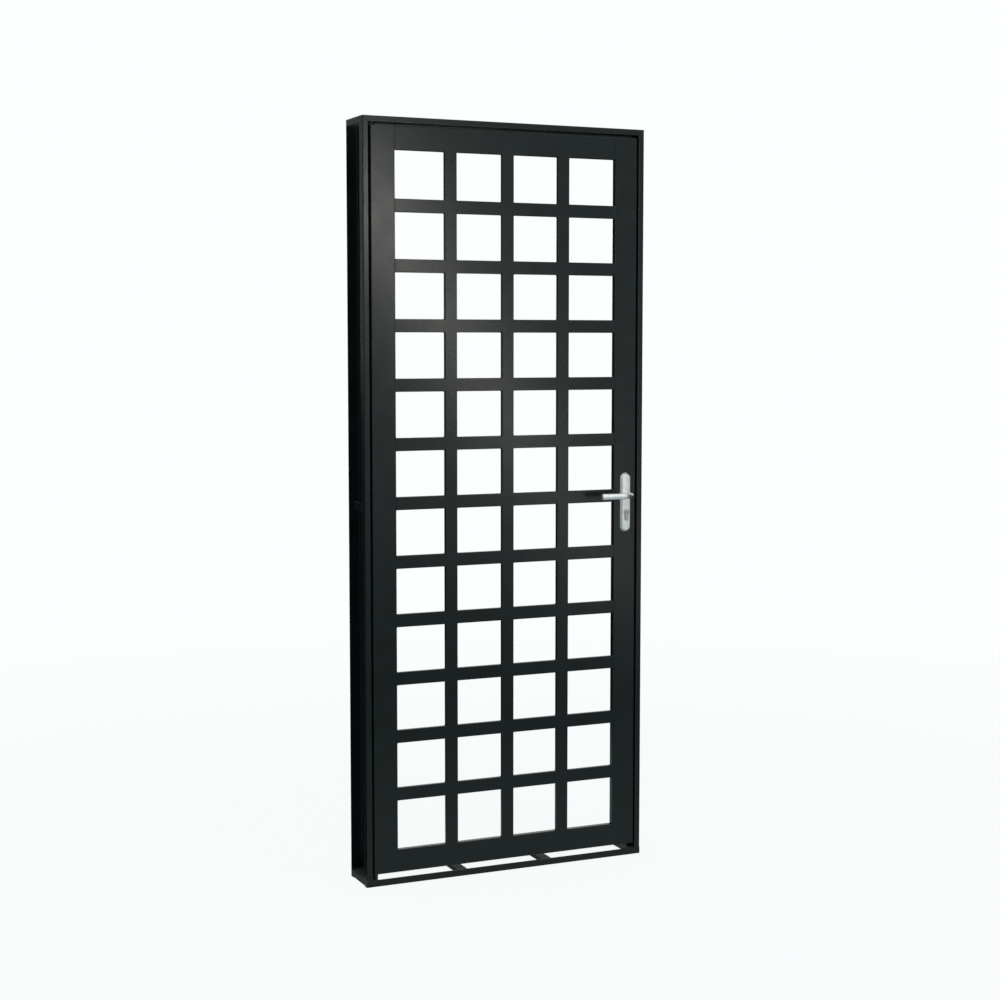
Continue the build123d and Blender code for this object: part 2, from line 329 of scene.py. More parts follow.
def black_moulded_plastic() -> SatinEnamel:
    """Black polypropylene, moulded with a fine spark finish: dull, and whitened on its edges."""
    return SatinEnamel(name="black_polypropylene_moulded", colour="#141515", clouded="#191a1a",
                       worn="#2e2f2f", dusty="#232423", roughness=(0.52, 0.62),
                       peel=Grain(size=0.6 * MM, detail=1.0), depth=0.01 * MM)


def satin_anodised_aluminium() -> WorkedMetal:
    """Cast aluminium, brushed upright and anodised: pale, with a soft broad highlight."""
    return WorkedMetal("satin_anodised_aluminium_brushed", "#e0dede", "#d8d6d6", "#e8e7e7", (0.36, 0.46),
                       Grain(size=0.35 * MM, detail=3.0, stretch=(1.0, 1.0, 40.0)), 0.006 * MM)


def satin_lever_aluminium() -> WorkedMetal:
    """The same anodised aluminium, brushed along the lever."""
    return WorkedMetal("satin_anodised_aluminium_lever", "#f0ebec", "#e9e5e6", "#f2efee", (0.36, 0.46),
                       Grain(size=0.35 * MM, detail=3.0, stretch=(40.0, 1.0, 1.0)), 0.006 * MM)


def black_zinc_and_shade_steel() -> WorkedMetal:
    """Punched sheet steel, zinc plated and passivated black: dark, the darkness partly painted shade for the
    narrow gap between leaf and jamb that it sits in, cloudy, and paler on its edges.
    """
    # The dark grey is partly painted shade for the gap between leaf and jamb.
    return WorkedMetal("black_zinc_and_painted_shade_steel", "#4a4d4e", "#3a3d3e", "#85888a", (0.36, 0.52),
                       Grain(size=0.8 * MM, detail=4.0, stretch=(1.0, 1.0, 6.0)), 0.010 * MM)


def turned_steel() -> WorkedMetal:
    """Turned steel, blacked and greased: nearly black, the darkness partly painted shade for the gaps where
    the pins and bolts sit, with fine rings round its axis.
    """
    # The near-black grey is partly painted shade for the gaps where pins, bushes and bolts sit.
    return WorkedMetal("turned_steel_blacked_and_painted_shade", "#38393a", "#2b2c2d", "#6f706f", (0.28, 0.42),
                       Grain(size=0.5 * MM, detail=2.0, stretch=(20.0, 20.0, 1.0)), 0.010 * MM)


def bright_screw_steel() -> WorkedMetal:
    """Cold-headed stainless steel screws: pale, with faint swirls from the die."""
    return WorkedMetal("stainless_steel_cold_headed", "#a9abac", "#939596", "#c2c3c2", (0.24, 0.36),
                       Grain(size=0.7 * MM, detail=2.0), 0.008 * MM)


def nickel_plated_brass() -> WorkedMetal:
    """Matt nickel plate on a drawn brass cylinder: a warm, darker grey than the handle."""
    return WorkedMetal("matt_nickel_plated_brass", "#a8a9a8", "#9b9c9a", "#b8b7b0", (0.38, 0.50),
                       Grain(size=0.4 * MM, detail=3.0, stretch=(1.0, 1.0, 12.0)), 0.006 * MM)


@dataclass
class MeshDraft:
    """Grids of points that are put together as one mesh."""

    points: list[Array] = field(default_factory=list)
    quads: list[NDArray[np.int64]] = field(default_factory=list)
    total: int = 0

    def add(self, grids: Array, ring: bool = True) -> MeshDraft:
        """Adds grids of points as quads.

        Args:
            grids: The points, as (..., rows, columns, 3).
            ring: True where the last column joins the first one.

        Returns:
            The draft itself.
        """
        rows, columns = grids.shape[-3:-1]
        batch = grids.reshape(-1, rows, columns, 3)
        index = np.arange(batch.shape[0] * rows * columns).reshape(batch.shape[:3]) + self.total
        here = index if ring else index[:, :, :-1]
        after = np.roll(index, -1, axis=2) if ring else index[:, :, 1:]
        corners = [here[:, :-1], after[:, :-1], after[:, 1:], here[:, 1:]]
        self.points.append(batch.reshape(-1, 3))
        self.quads.append(np.stack(corners, axis=-1).reshape(-1, 4))
        self.total += batch.shape[0] * rows * columns
        return self

    def build(self, name: str, material: Material, sharp: float = 32.0) -> bpy.types.Object:
        """Makes the mesh, closes its seams and poles and turns its faces outwards.

        Args:
            name: The object's name.
            material: Its material.
            sharp: The angle in degrees above which an edge is sharp.

        Returns:
            The new object, with its place in its mesh.
        """
        mesh = bpy.data.meshes.new(name)
        mesh.from_pydata(np.concatenate(self.points).tolist(), [], np.concatenate(self.quads).tolist())
        work = bmesh.new()
        work.from_mesh(mesh)
        bmesh.ops.remove_doubles(work, verts=work.verts, dist=MERGE_DISTANCE)
        bmesh.ops.recalc_face_normals(work, faces=work.faces)
        work.to_mesh(mesh)
        work.free()
        mesh.polygons.foreach_set("use_smooth", np.ones(len(mesh.polygons), dtype=bool))
        mesh.set_sharp_from_angle(angle=math.radians(sharp))
        mesh.materials.append(material)
        built = bpy.data.objects.new(name, mesh)
        bpy.context.scene.collection.objects.link(built)
        return built

    def place(self, name: str, material: Material, body: Body, slot: Slot, *stands_for: str,
              sharp: float = 32.0) -> None:
        """Makes the mesh a piece that rides on a body, and reports it.

        Args:
            name: The piece's name.
            material: Its material.
            body: The body that carries it.
            slot: The material slot; not used.
            stands_for: The names of the nodes that it replaces.
            sharp: The angle in degrees above which an edge is sharp.
        """
        piece = self.build(name, material, sharp)
        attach(piece, body.value)
        if stands_for:
            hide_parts(*stands_for)
        log.info("%s on %s: %d faces", piece.name, body.value, len(piece.data.polygons))


def spread(*parts: Array | float) -> Array:
    """Stacks X, Y and Z, each spread over the others, as points on the last axis."""
    return np.stack(np.broadcast_arrays(*parts), axis=-1)


def weld_beads(starts: Array, ends: Array, first: Array, second: Array, span: float) -> Array:
    """Lays rippled weld beads along straight seams of one length.

    A point of a bead is start + s (end - start) + reach (cos a first + sin a second). The angle a
    runs over the span of the bead's section, and the reach fades to nothing at both ends of the
    seam and swells once for each ripple. The last column is the seam itself, so the bead is closed.

    Args:
        starts: The seams' starts, (n, 3).
        ends: The seams' ends, (n, 3).
        first: The way to the bead's first toe, with the bead's reach as its length, (3) or (n, 3).
        second: The way to the middle of a crown, or to the other toe of a fillet, likewise.
        span: The section's angle in degrees: 90 for a fillet and 180 for a crown.

    Returns:
        The grids, (n, rows, columns, 3).
    """
    run = float(np.linalg.norm(ends[0] - starts[0]))
    rows = 4 * max(2, round(run / RIPPLE_PITCH)) + 1
    along = np.linspace(0, 1, rows)
    order = np.arange(len(starts))[:, None]
    ripple = 1 + RIPPLE_SWELL * np.sin(2 * math.pi * along * run / RIPPLE_PITCH + 2.4 * order)
    drift = 1 + DRIFT_SWELL * np.sin(7.0 * along + 1.7 * order)
    fade = np.minimum(1, np.sin(math.pi * along) * run / (FADE_RIPPLES * RIPPLE_PITCH))
    angle = np.radians(np.linspace(0, span, 7))[:, None]
    first, second = (np.broadcast_to(way, starts.shape)[:, None, None] for way in (first, second))
    section = np.cos(angle) * first + np.sin(angle) * second
    section = np.concatenate([section, np.zeros((len(starts), 1, 1, 3))], axis=2)
    seam = starts[:, None] + along[:, None] * (ends - starts)[:, None]
    return seam[:, :, None] + (fade * ripple * drift)[:, :, None, None] * section


def flush_beads(starts: Array, ends: Array, across: Array, crown: float) -> Array:
    """Lays weld metal that has been ground flush along straight seams of one length.

    A point is start + s (end - start) + cos a across - crown sin a Y, for a from 0 to a half turn,
    and the underside goes down into the groove to a point.

    Args:
        starts: The seams' starts, (n, 3).
        ends: The seams' ends, (n, 3).
        across: Half the bead's width, as a vector.
        crown: How proud its middle is.

    Returns:
        The grids, (n, rows, columns, 3).
    """
    seam = starts[:, None] + np.linspace(0, 1, 5)[:, None] * (ends - starts)[:, None]
    angle = np.radians(np.linspace(0, 180, 9))[:, None]
    section = np.cos(angle) * across - crown * np.sin(angle) * Y_AXIS
    return seam[:, :, None] + np.concatenate([section, [GROOVE_DEPTH * Y_AXIS]])


@dataclass(frozen=True)
class SlottedDisc:
    """A crowned disc with a straight slot in it, such as a screw head or a key plug."""

    radius: float
    proud: float
    crown: float
    half_width: float
    half_length: float
    depth: float
    wall: float = 0.12 * MM

    def grid(self, centre: Array, outward: Array, across: Array) -> Array:
        """Makes the disc.

        The grid's rows are lines along the slot at a distance from its middle, and its columns
        share out each line's length between its ends on the rim. The height is proud + crown (1 - r
        squared over R squared), less the slot's depth where a point lies in the slot. Two last
        columns close the disc underneath.

        Args:
            centre: The middle of the disc's seat.
            outward: The unit vector out of the seat.
            across: The unit vector across the slot.

        Returns:
            The grid, for a ring.
        """
        share = min(self.half_length / self.radius, 1.0)
        beyond = min(share + self.wall / self.radius, 1.0)
        steps = np.linspace(-1, 1, 15)
        sides = [self.half_width, self.half_width + self.wall]
        far = np.sort(np.concatenate([self.radius * np.sin(steps * math.pi / 2), sides, np.negative(sides)]))
        shares = np.unique(np.concatenate([steps, [share, beyond, -share, -beyond]]))
        reach = np.sqrt(np.maximum(self.radius**2 - far**2, 0))
        far = far[:, None]
        along = reach[:, None] * shares
        height = self.proud + self.crown * (1 - (far**2 + along**2) / self.radius**2)
        inside = (np.abs(far) <= self.half_width + 1e-9) & (np.abs(shares) <= share + 1e-9)
        height = np.where(inside, height - self.depth, height)
        base = np.stack([reach, -reach], axis=1)
        along = np.concatenate([along, base], axis=1)[..., None]
        height = np.concatenate([height, np.full_like(base, -self.proud)], axis=1)[..., None]
        other = np.cross(outward, across)
        return centre + far[..., None] * across + along * other + height * outward


def end_screws(node: str, outward: Array, screw: SlottedDisc, sunk: float, inset: float,
               turns: tuple[float, float]) -> MeshDraft:
    """Puts a screw near each end of an upright plate.

    Args:
        node: The plate's node.
        outward: The unit vector out of the plate's face, along X or Y.
        screw: The screw's head.
        sunk: How deep its seat lies under the face.
        inset: Its distance from the plate's end.
        turns: The slots' turns from level, in radians, from the bottom up.

    Returns:
        The grids of the heads.
    """
    low, high = (np.array(corner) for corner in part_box(node))
    level = np.abs(np.cross(Z_AXIS, outward))
    draft = MeshDraft()
    for z, turn in zip((low[2] + inset, high[2] - inset), turns):
        centre = (low + high) / 2 + outward * (np.abs(outward) @ (high - low) / 2 - sunk)
        centre[2] = z
        draft.add(screw.grid(centre, outward, math.cos(turn) * level + math.sin(turn) * Z_AXIS))
    return draft


@dataclass(frozen=True)
class Lattice:
    """The lattice of flat tubes: three uprights and eleven rows of crossbars, welded flush."""

    low: Vector
    high: Vector
    upright_width: float = 36.4 * MM
    crossbar_height: float = 36.9 * MM
    outer_cell: float = 148.2 * MM
    top_cell: float = 132.6 * MM
    bottom_cell: float = 141.4 * MM
    columns: int = 4
    rows: int = 12
    corner: float = 1.5 * MM
    support: float = 0.3 * MM
    sink: float = 0.02 * MM
    flush_half: float = 2.6 * MM
    flush_crown: float = 0.10 * MM
    fillet_leg: float = 1.5 * MM
    deep_leg: float = 3 * MM
    seam_half: float = 2.4 * MM
    seam_crown: float = 0.6 * MM

    def openings(self) -> tuple[Array, ...]:
        """Finds the sides of the openings.

        Each way, the first and the last opening have their own sizes, and the inner ones share out
        what the bars leave.

        Returns:
            The left and right sides of the columns, and the lower and upper sides of the rows.
        """
        sides = []
        for low, high, first, last, bar, count in (
                (self.low.x, self.high.x, self.outer_cell, self.outer_cell, self.upright_width,
                 self.columns),
                (self.low.z, self.high.z, self.bottom_cell, self.top_cell, self.crossbar_height,
                 self.rows)):
            inner = (high - low - first - last - (count - 1) * bar) / (count - 2)
            sizes = np.array([first, *[inner] * (count - 2), last])
            start = low + np.concatenate([[0], np.cumsum(sizes[:-1] + bar)])
            sides += [start, start + sizes]
        return tuple(sides)

    def profile(self, half: float) -> tuple[Array, Array]:
        """Gives the half section of a bar, from the middle of its front to the middle of its back.

        The rounded corners are quarter circles: the offset from the opening is R (1 - sin a) and the
        depth is R (1 - cos a).

        Args:
            half: Half the bar's width.

        Returns:
            The offsets from the side of the opening, and the depths from the front.
        """
        depth = self.high.y - self.low.y
        turn = np.radians(np.linspace(0, 90, 5))
        offset = self.corner * (1 - np.sin(turn))
        drop = self.corner * (1 - np.cos(turn))
        flat = np.array([half, self.corner + self.support])
        offsets = np.concatenate([flat, offset, offset[::-1], flat[::-1]])
        return offsets, np.concatenate([[0, 0], drop, depth - drop[::-1], [depth, depth]])

    def skin(self) -> MeshDraft:
        """Makes the lattice's closed skin.

        Round each opening, a strip of the half section is carried along each side that a bar makes.
        At a crossing two strips meet on the mitre from the opening's corner to the middle of the
        crossing. At the stiles and rails the bars end square, with a cap.

        Returns:
            The grids of all the strips and caps.
        """
        draft = MeshDraft()
        x_low, x_high, z_low, z_high = self.openings()
        across, depths = self.profile(self.upright_width / 2)
        up, _ = self.profile(self.crossbar_height / 2)
        y = self.low.y + depths
        past_x = np.arange(self.columns) > 0
        past_z = np.arange(self.rows) > 0
        left = x_low[:, None] - past_x[:, None] * across
        right = x_high[:, None] + past_x[::-1, None] * across
        below = z_low[:, None] - past_z[:, None] * up
        above = z_high[:, None] + past_z[::-1, None] * up
        strips = []
        for z in (below[past_z], above[past_z[::-1]]):
            strips.append(((left[:, None], y, z), (right[:, None], y, z)))
            strips += [((end, y, z), (end, y, z[:, :1])) for end in (left[:1], right[-1:])]
        for x in (left[past_x], right[past_x[::-1]]):
            strips.append(((x[:, None], y, below), (x[:, None], y, above)))
            strips += [((x, y, end), (x[:, :1], y, end)) for end in (below[:1], above[-1:])]
        for start, end in strips:
            lines = np.broadcast_arrays(spread(*start), spread(*end))
            draft.add(np.stack(lines, axis=-3), ring=False)
        return draft

    def bar_ends(self, y: float, outside: float = 0.0) -> list[tuple[Array, Array, Array]]:
        """Finds the seams between the bars' ends and the leaf round them.

        Args:
            y: The seams' depth.
            outside: How far they lie outside the lattice.

        Returns:
            For each side of the lattice, the seams' starts and ends, and the unit vector inwards.
        """
        x_low, x_high, z_low, z_high = self.openings()
        seams = []
        for x, way in ((self.low.x, 1), (self.high.x, -1)):
            place = x - way * outside
            seams.append((spread(place, y, z_high[:-1] + self.corner),
                          spread(place, y, z_low[1:] - self.corner), way * X_AXIS))
        for z, way in ((self.low.z, 1), (self.high.z, -1)):
            place = z - way * outside
            seams.append((spread(x_high[:-1] + self.corner, y, place),
                          spread(x_low[1:] - self.corner, y, place), way * Z_AXIS))
        return seams

    def welds(self, step_back: float) -> MeshDraft:
        """Makes the lattice's beads.

        They are fillets in the corners of the openings, low crowned seams behind each crossing
        along both sides of the upright, fillets behind the bars' ends, where the stiles and rails
        are deeper, and the fillings in front of those ends, ground flush with a very low crown.

        Args:
            step_back: How far the stiles stand out behind the bars.

        Returns:
            The grids of all the beads.
        """
        draft = MeshDraft()
        x_low, x_high, z_low, z_high = self.openings()
        back = self.high.y
        x, z = (part.ravel() for part in np.meshgrid([*x_low, *x_high], [*z_low, *z_high]))
        x_leg = np.where(np.isin(x, x_low), self.fillet_leg, -self.fillet_leg)[:, None]
        z_leg = np.where(np.isin(z, z_low), self.fillet_leg, -self.fillet_leg)[:, None]
        draft.add(weld_beads(spread(x, self.low.y + self.corner, z), spread(x, back, z),
                             x_leg * X_AXIS, z_leg * Z_AXIS, 90))
        x, z = (part.ravel() for part in np.meshgrid([*x_low[1:], *x_high[:-1]],
                                                     z_high[:-1] + self.corner))
        head = z + self.crossbar_height - 2 * self.corner
        draft.add(weld_beads(spread(x, back, z), spread(x, back, head),
                             self.seam_half * X_AXIS, self.seam_crown * Y_AXIS, 180))
        leg = min(step_back, self.deep_leg)
        for starts, ends, inwards in self.bar_ends(back):
            draft.add(weld_beads(starts, ends, leg * inwards, leg * Y_AXIS, 90))
        for starts, ends, inwards in self.bar_ends(self.low.y + self.sink, MM):
            draft.add(flush_beads(starts, ends, self.flush_half * np.abs(inwards), self.flush_crown))
        return draft


@dataclass(frozen=True)
class Assembly:
    """A sub-assembly of the door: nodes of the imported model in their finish, and pieces on them."""

    model: dict[str, bpy.types.Object]

    def dress(self, material: Material, slot: Slot, *names: str) -> None:
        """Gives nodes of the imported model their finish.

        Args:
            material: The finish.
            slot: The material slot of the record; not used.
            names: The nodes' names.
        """
        for name in names:
            node = self.model[name]
            node.data.materials.clear()
            node.data.materials.append(material)
            log.info("%s dressed in %s", name, material.name)


@dataclass(frozen=True)
class DoorFrame(Assembly):
    """The folded frame, its open sill, its caps and anchors, and the seams that join them."""

    paint: Material
    trodden: Material
    # A greyer copy of the paint, whose grey is painted light for the lit end faces of the caps and feet.
    brushed: Material
    ties: tuple[str, ...] = ("sill_tie_left", "sill_tie_right")
    leg: float = 1.8 * MM
    stop_depth: float = 26 * MM
    back_margin: float = 2 * MM
    foot_margins: tuple[float, float] = (16 * MM, 4 * MM)
    foot_half: float = 2.6 * MM
    foot_crown: float = 0.9 * MM
    tie_margin: float = 2 * MM

    def build(self) -> None:
        """Dresses the frame's sheet and builds its seams."""
        self.dress(self.paint, Slot.PAINT, "jamb_pivot_side", "jamb_lock_side", "header",
                   "sill_angle_front", "sill_angle_rear", "wall_anchor_left", "wall_anchor_right")
        self.dress(self.trodden, Slot.PAINT, *self.ties)
        # The caps and feet take the greyer enamel, painted light for their lit end faces.
        self.dress(self.brushed, Slot.PAINT, "header_cap_left", "header_cap_right", "sill_foot_left",
                   "sill_foot_right")
        draft = MeshDraft()
        for start, end, first, second, span in self._seams():
            draft.add(weld_beads(np.array([start]), np.array([end]), first, second, span))
        draft.place("frame_welds", self.paint, Body.FRAME, Slot.PAINT, sharp=60)

    def _seams(self) -> list[tuple[Any, ...]]:
        """Finds the frame's seams.

        They are fillets along the depth of the reveal in the two top corners, low crowned seams
        between the jambs and the tubes that they stand on, and fillets over the ends of the ties,
        against the sill's two angles.

        Returns:
            Each seam's start and end, the two ways across its bead, and the section's angle.
        """
        foot_low, foot_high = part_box("sill_foot_left")
        header_low, header_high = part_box("header")
        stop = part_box("jamb_pivot_side")[0].y + self.stop_depth
        before, behind = self.foot_margins
        corners = []
        feet = []
        for side in (-1, 1):
            x = -side * foot_high.x
            corners.append(((x, stop, header_low.z), (x, header_high.y - self.back_margin, header_low.z),
                            -side * self.leg * X_AXIS, -self.leg * Z_AXIS, 90))
            feet.append(((x, foot_low.y + before, foot_high.z), (x, foot_high.y - behind, foot_high.z),
                         self.foot_half * Z_AXIS, -side * self.foot_crown * X_AXIS, 180))
        ties = []
        for name in self.ties:
            low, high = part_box(name)
            for y, way in ((low.y, 1), (high.y, -1)):
                ties.append(((low.x + self.tie_margin, y, high.z), (high.x - self.tie_margin, y, high.z),
                             way * self.leg * Y_AXIS, self.leg * Z_AXIS, 90))
        return corners + feet + ties


@dataclass(frozen=True)
class Leaf(Assembly):
    """The leaf: stiles, rails and lattice, all painted, with their welds."""

    paint: Material
    joint_margin: float = 2.2 * MM

    def build(self) -> None:
        """Dresses the tubes and builds the lattice's skin and the leaf's welds."""
        self.dress(self.paint, Slot.PAINT, "stile_pivot_side", "stile_lock_side", "rail_top",
                   "rail_bottom")
        low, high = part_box("grille")
        _, stile_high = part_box("stile_lock_side")
        lattice = Lattice(low, high)
        lattice.skin().place("lattice_skin", self.paint, Body.LEAF, Slot.PAINT, "grille")
        welds = lattice.welds(stile_high.y - high.y)
        welds.place("lattice_welds", self.paint, Body.LEAF, Slot.PAINT, sharp=60)
        self._fillings(lattice).place("leaf_joint_fillings", self.paint, Body.LEAF, Slot.PAINT)

    def _fillings(self, lattice: Lattice) -> MeshDraft:
        """Fills the joints of rails and stiles on the front, where the weld is ground flush.

        The joint at the top of the lock side is left as it is, because it shows as a fine line.

        Args:
            lattice: The lattice, whose sides the joints are in line with.

        Returns:
            The grids of the fillings.
        """
        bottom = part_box("rail_bottom")
        left, right = lattice.low.x - MM, lattice.high.x + MM
        front = bottom[0].y + lattice.sink
        draft = MeshDraft()
        for x, (low, high) in ((left, bottom), (right, bottom), (left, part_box("rail_top"))):
            start = np.array([[x, front, low.z + self.joint_margin]])
            end = np.array([[x, front, high.z - self.joint_margin]])
            draft.add(flush_beads(start, end, lattice.flush_half * X_AXIS, lattice.flush_crown))
        return draft


@dataclass(frozen=True)
class HandlePlate:
    """A handle's back plate: a rounded slab with a slightly crowned face."""

    seat: Array
    half_width: float
    half_length: float
    thickness: float
    side: Side
    rim: float = 0.4 * MM
    lean: float = 4.6 * MM
    shoulder: float = 1.6 * MM
    crown: float = 0.3 * MM

    def grid(self) -> Array:
        """Makes the plate.

        The outline is a slot with round ends. Each row moves it inwards by an inset and outwards
        from the leaf by a height: up a low rim, up a leaning side, over an arc that is tangent to
        it and to the face, and along a shallow parabola to the middle line.

        Returns:
            The grid, for a ring.
        """
        face = self.thickness - self.crown
        slope = math.atan2(face - self.rim, self.lean)
        flat = self.lean + self.shoulder * math.tan(slope / 2)
        turn = np.linspace(slope, 0, 7)
        share = np.linspace(0, 1, 9)[1:]
        insets = np.concatenate([[self.half_width, 0, 0], flat - self.shoulder * np.sin(turn),
                                 flat + share * (self.half_width - flat)])
        heights = np.concatenate([[0, 0, self.rim], face - self.shoulder * (1 - np.cos(turn)),
                                  self.thickness - self.crown * (1 - share) ** 2])
        arc = np.radians(np.linspace(0, 180, 25))
        angle = np.concatenate([arc, arc + math.pi])
        end = np.repeat([1, -1], len(arc)) * (self.half_length - self.half_width)
        radius = (self.half_width - insets)[:, None]
        return self.seat + spread(radius * np.cos(angle), self.side.value * heights[:, None],
                                  end + radius * np.sin(angle))


@dataclass(frozen=True)
class Lever:
    """A round lever: a waisted neck, an elbow and a grip that ends in a soft dome."""

    root: Array
    side: Side
    seat: float = 4.0 * MM
    neck: float = 18.0 * MM
    elbow: float = 33.0 * MM
    length: float = 107.5 * MM
    neck_radius: float = 8.0 * MM
    waist_radius: float = 7.2 * MM
    grip_radius: float = 9.0 * MM
    dome: float = 8.5 * MM

    def grid(self) -> Array:
        """Makes the lever.

        A circle is carried along the centre line, which runs straight out of the plate, turns
        through a quarter circle and runs straight to the tip. The neck's radius dips by a raised
        cosine, and over the dome the radius is R times the root of 1 - q to the power of 2.4.

        Returns:
            The grid, for a ring, closed by a point at both ends.
        """
        rise = np.linspace(-self.seat, self.neck, 17)
        dip = 0.5 - 0.5 * np.cos(2 * math.pi * np.clip(rise / self.neck, 0, 1))
        turn = np.radians(np.linspace(0, 90, 25)[1:])
        run = self.length - self.elbow - self.dome
        along = np.linspace(0, run, 12)[1:]
        cap = np.sin(np.linspace(0, math.pi / 2, 12)[1:])
        straight = np.ones(len(along) + len(cap))
        x = np.concatenate([0 * rise, -self.elbow * (1 - np.cos(turn)), -self.elbow - along,
                            -self.elbow - run - self.dome * cap])
        y = np.concatenate([rise, self.neck + self.elbow * np.sin(turn),
                            (self.neck + self.elbow) * straight])
        heading = np.concatenate([0 * rise, turn, math.pi / 2 * straight])
        radii = np.concatenate([self.neck_radius - (self.neck_radius - self.waist_radius) * dip,
                                np.linspace(self.neck_radius, self.grip_radius, len(turn) + len(along)),
                                self.grip_radius * (1 - cap**2.4) ** 0.5])
        path = np.stack([x, y, heading, radii])
        path = np.concatenate([path[:, :1], path], axis=1)
        path[3, [0, -1]] = 0.0
        x, y, heading, radii = path[..., None]
        angle = np.linspace(0, 2 * math.pi, 41)[:-1]
        sway = radii * np.cos(angle)
        return self.root + spread(x + np.cos(heading) * sway,
                                  self.side.value * (y + np.sin(heading) * sway),
                                  radii * np.sin(angle))


def turned_ring(centre: Array, outward: Array, inner: float, outer: float, height: float) -> Array:
    """Makes a low ring round an axis, with a half round top.

    The section is (inner + outer)/2 + half cos a across and height sin a out, for a half turn, and
    it is turned once round the axis.

    Args:
        centre: The middle of the ring's seat.
        outward: The unit vector along the axis, which lies along Y.
        inner: The inner radius.
        outer: The outer radius.
        height: The height over the seat.

    Returns:
        The grid, for a ring, with one row for each point of the section.
    """
    angle = np.append(np.linspace(0, math.pi, 9), 0.0)[:, None]
    radius = (inner + outer) / 2 + (outer - inner) / 2 * np.cos(angle)
    turn = np.linspace(0, 2 * math.pi, 49)[:-1]
    flat = spread(radius * np.cos(turn), 0.0, radius * np.sin(turn))
    return centre + flat + height * np.sin(angle)[..., None] * outward


@dataclass(frozen=True)
class Handles(Assembly):
    """The handle set: two plates, two levers on one spindle, the cylinder and the fixing screws."""

    plate_metal: Material
    lever_metal: Material
    cylinder_metal: Material
    steel: Material
    plug: SlottedDisc = SlottedDisc(6.4 * MM, 0.35 * MM, 0.10 * MM, 1.1 * MM, 4.4 * MM, 2.6 * MM)
    screw: SlottedDisc = SlottedDisc(3.6 * MM, 0.3 * MM, 0.6 * MM, 0.45 * MM, 3.6 * MM, 0.7 * MM)
    screw_sunk: float = 0.1 * MM
    screw_inset: float = 14 * MM
    turns: tuple[float, float] = (math.radians(35.0), math.radians(118.0))
    ring_sunk: float = 0.3 * MM
    ring_radii: tuple[float, float] = (8.1 * MM, 10.2 * MM)
    ring_height: float = 1.1 * MM

    def build(self) -> None:
        """Builds both sides of the handle set."""
        self.dress(self.cylinder_metal, Slot.CYLINDER, "lock_cylinder")
        self.dress(self.steel, Slot.ZINC, "spindle")
        for side in Side:
            self._side(side, side.name.lower())
        screws = end_screws("handle_plate_rear", Y_AXIS, self.screw, self.screw_sunk, self.screw_inset,
                            self.turns)
        screws.place("plate_screws_rear", self.steel, Body.LEAF, Slot.ZINC)

    def _side(self, side: Side, word: str) -> None:
        """Builds a plate with the ring that the lever turns in, the lever, and the key plug.

        Args:
            side: The face of the leaf.
            word: The side's word in names.
        """
        outward = side.value * Y_AXIS
        low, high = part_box(f"handle_plate_{word}")
        face, seat = (low.y, high.y) if side is Side.FRONT else (high.y, low.y)
        middle = np.array([(low.x + high.x) / 2, seat, (low.z + high.z) / 2])
        plate = HandlePlate(middle, (high.x - low.x) / 2, (high.z - low.z) / 2, high.y - low.y, side)
        low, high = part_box(f"lever_neck_{word}")
        root = np.array([(low.x + high.x) / 2, face, (low.z + high.z) / 2])
        ring = turned_ring(root - self.ring_sunk * outward, outward, *self.ring_radii, self.ring_height)
        MeshDraft().add(plate.grid()).add(ring).place(
            f"handle_plate_{word}_shell", self.plate_metal, Body.LEAF, Slot.SATIN,
            f"handle_plate_{word}", sharp=30)
        MeshDraft().add(Lever(root, side).grid()).place(
            f"lever_{word}", self.lever_metal, Body.LEVER, Slot.SATIN, f"lever_neck_{word}",
            f"lever_grip_{word}", sharp=50)
        low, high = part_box("lock_cylinder")
        face = low.y if side is Side.FRONT else high.y
        centre = np.array([(low.x + high.x) / 2, face, high.z - (high.x - low.x) / 2])
        MeshDraft().add(self.plug.grid(centre, outward, X_AXIS)).place(
            f"key_plug_{word}", self.cylinder_metal, Body.LEAF, Slot.CYLINDER)


